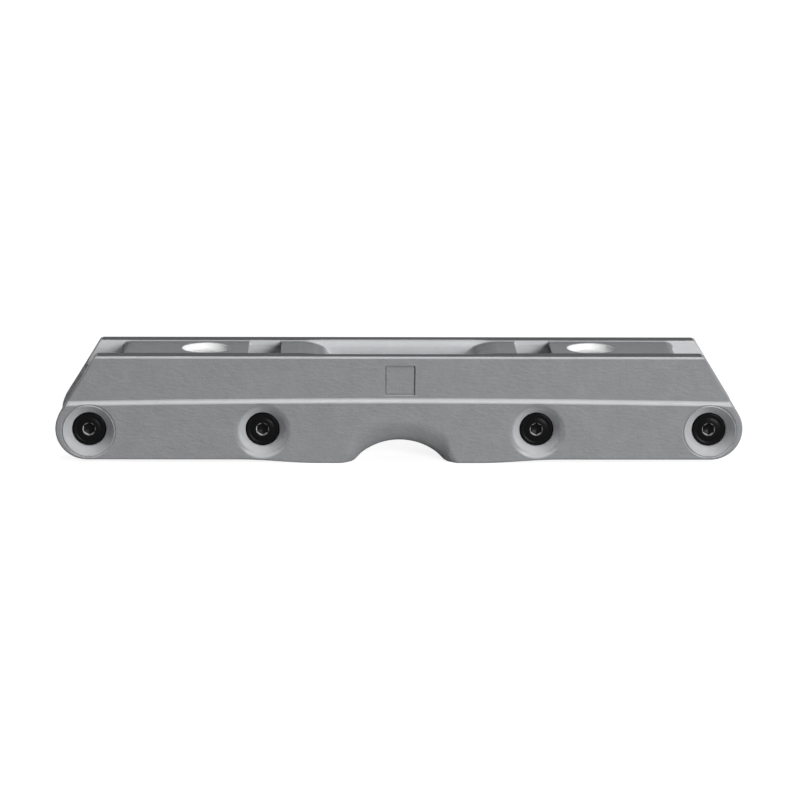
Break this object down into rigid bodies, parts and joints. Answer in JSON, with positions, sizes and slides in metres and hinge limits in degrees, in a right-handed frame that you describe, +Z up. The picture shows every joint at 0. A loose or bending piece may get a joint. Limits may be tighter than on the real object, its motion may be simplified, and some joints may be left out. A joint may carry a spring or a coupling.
{
  "type": "inline skate frame",
  "caption": "Moulded inline skate frame with a grind arch, wheel bays, two-piece axles, pressed bushes and round seats for the boot.",
  "frame": {"origin": "under the middle of the frame, half-way between the inner axles, at the height of its lowest point", "axes": "+X along the frame towards its front, +Y across to the skate's far side, +Z up to the boot"},
  "size_m": [0.2954, 0.0444, 0.0469],
  "materials": {
    "chassis_nylon": "glass-filled nylon, moulded in a spark-eroded tool",
    "nut_zinc": "zinc plated",
    "axle_black": "black oxide on steel",
    "bush_steel": "turned"
  },
  "bodies": {
    "chassis": {"frame_body": "chassis_nylon", "front_mount_nut": "nut_zinc", "rear_mount_nut": "nut_zinc", "axle_1_left_bush": "bush_steel", "axle_2_left_bush": "bush_steel", "axle_3_left_bush": "bush_steel", "axle_4_left_bush": "bush_steel", "axle_1_right_bush": "bush_steel", "axle_2_right_bush": "bush_steel", "axle_3_right_bush": "bush_steel", "axle_4_right_bush": "bush_steel"},
    "axle_1_bolt": {"axle_1_bolt": "axle_black"},
    "axle_1_sleeve": {"axle_1_sleeve": "axle_black"},
    "axle_2_bolt": {"axle_2_bolt": "axle_black"},
    "axle_2_sleeve": {"axle_2_sleeve": "axle_black"},
    "axle_3_bolt": {"axle_3_bolt": "axle_black"},
    "axle_3_sleeve": {"axle_3_sleeve": "axle_black"},
    "axle_4_bolt": {"axle_4_bolt": "axle_black"},
    "axle_4_sleeve": {"axle_4_sleeve": "axle_black"}
  },
  "joints": [
    {"name": "axle_1_bolt_out", "type": "slide", "parent": "chassis", "child": "axle_1_bolt", "axis": [0, -1, 0], "range_m": [0, 0.024]},
    {"name": "axle_1_sleeve_out", "type": "slide", "parent": "chassis", "child": "axle_1_sleeve", "axis": [0, 1, 0], "range_m": [0, 0.07]},
    {"name": "axle_2_bolt_out", "type": "slide", "parent": "chassis", "child": "axle_2_bolt", "axis": [0, -1, 0], "range_m": [0, 0.024]},
    {"name": "axle_2_sleeve_out", "type": "slide", "parent": "chassis", "child": "axle_2_sleeve", "axis": [0, 1, 0], "range_m": [0, 0.07]},
    {"name": "axle_3_bolt_out", "type": "slide", "parent": "chassis", "child": "axle_3_bolt", "axis": [0, -1, 0], "range_m": [0, 0.024]},
    {"name": "axle_3_sleeve_out", "type": "slide", "parent": "chassis", "child": "axle_3_sleeve", "axis": [0, 1, 0], "range_m": [0, 0.07]},
    {"name": "axle_4_bolt_out", "type": "slide", "parent": "chassis", "child": "axle_4_bolt", "axis": [0, -1, 0], "range_m": [0, 0.024]},
    {"name": "axle_4_sleeve_out", "type": "slide", "parent": "chassis", "child": "axle_4_sleeve", "axis": [0, 1, 0], "range_m": [0, 0.07]}
  ]
}
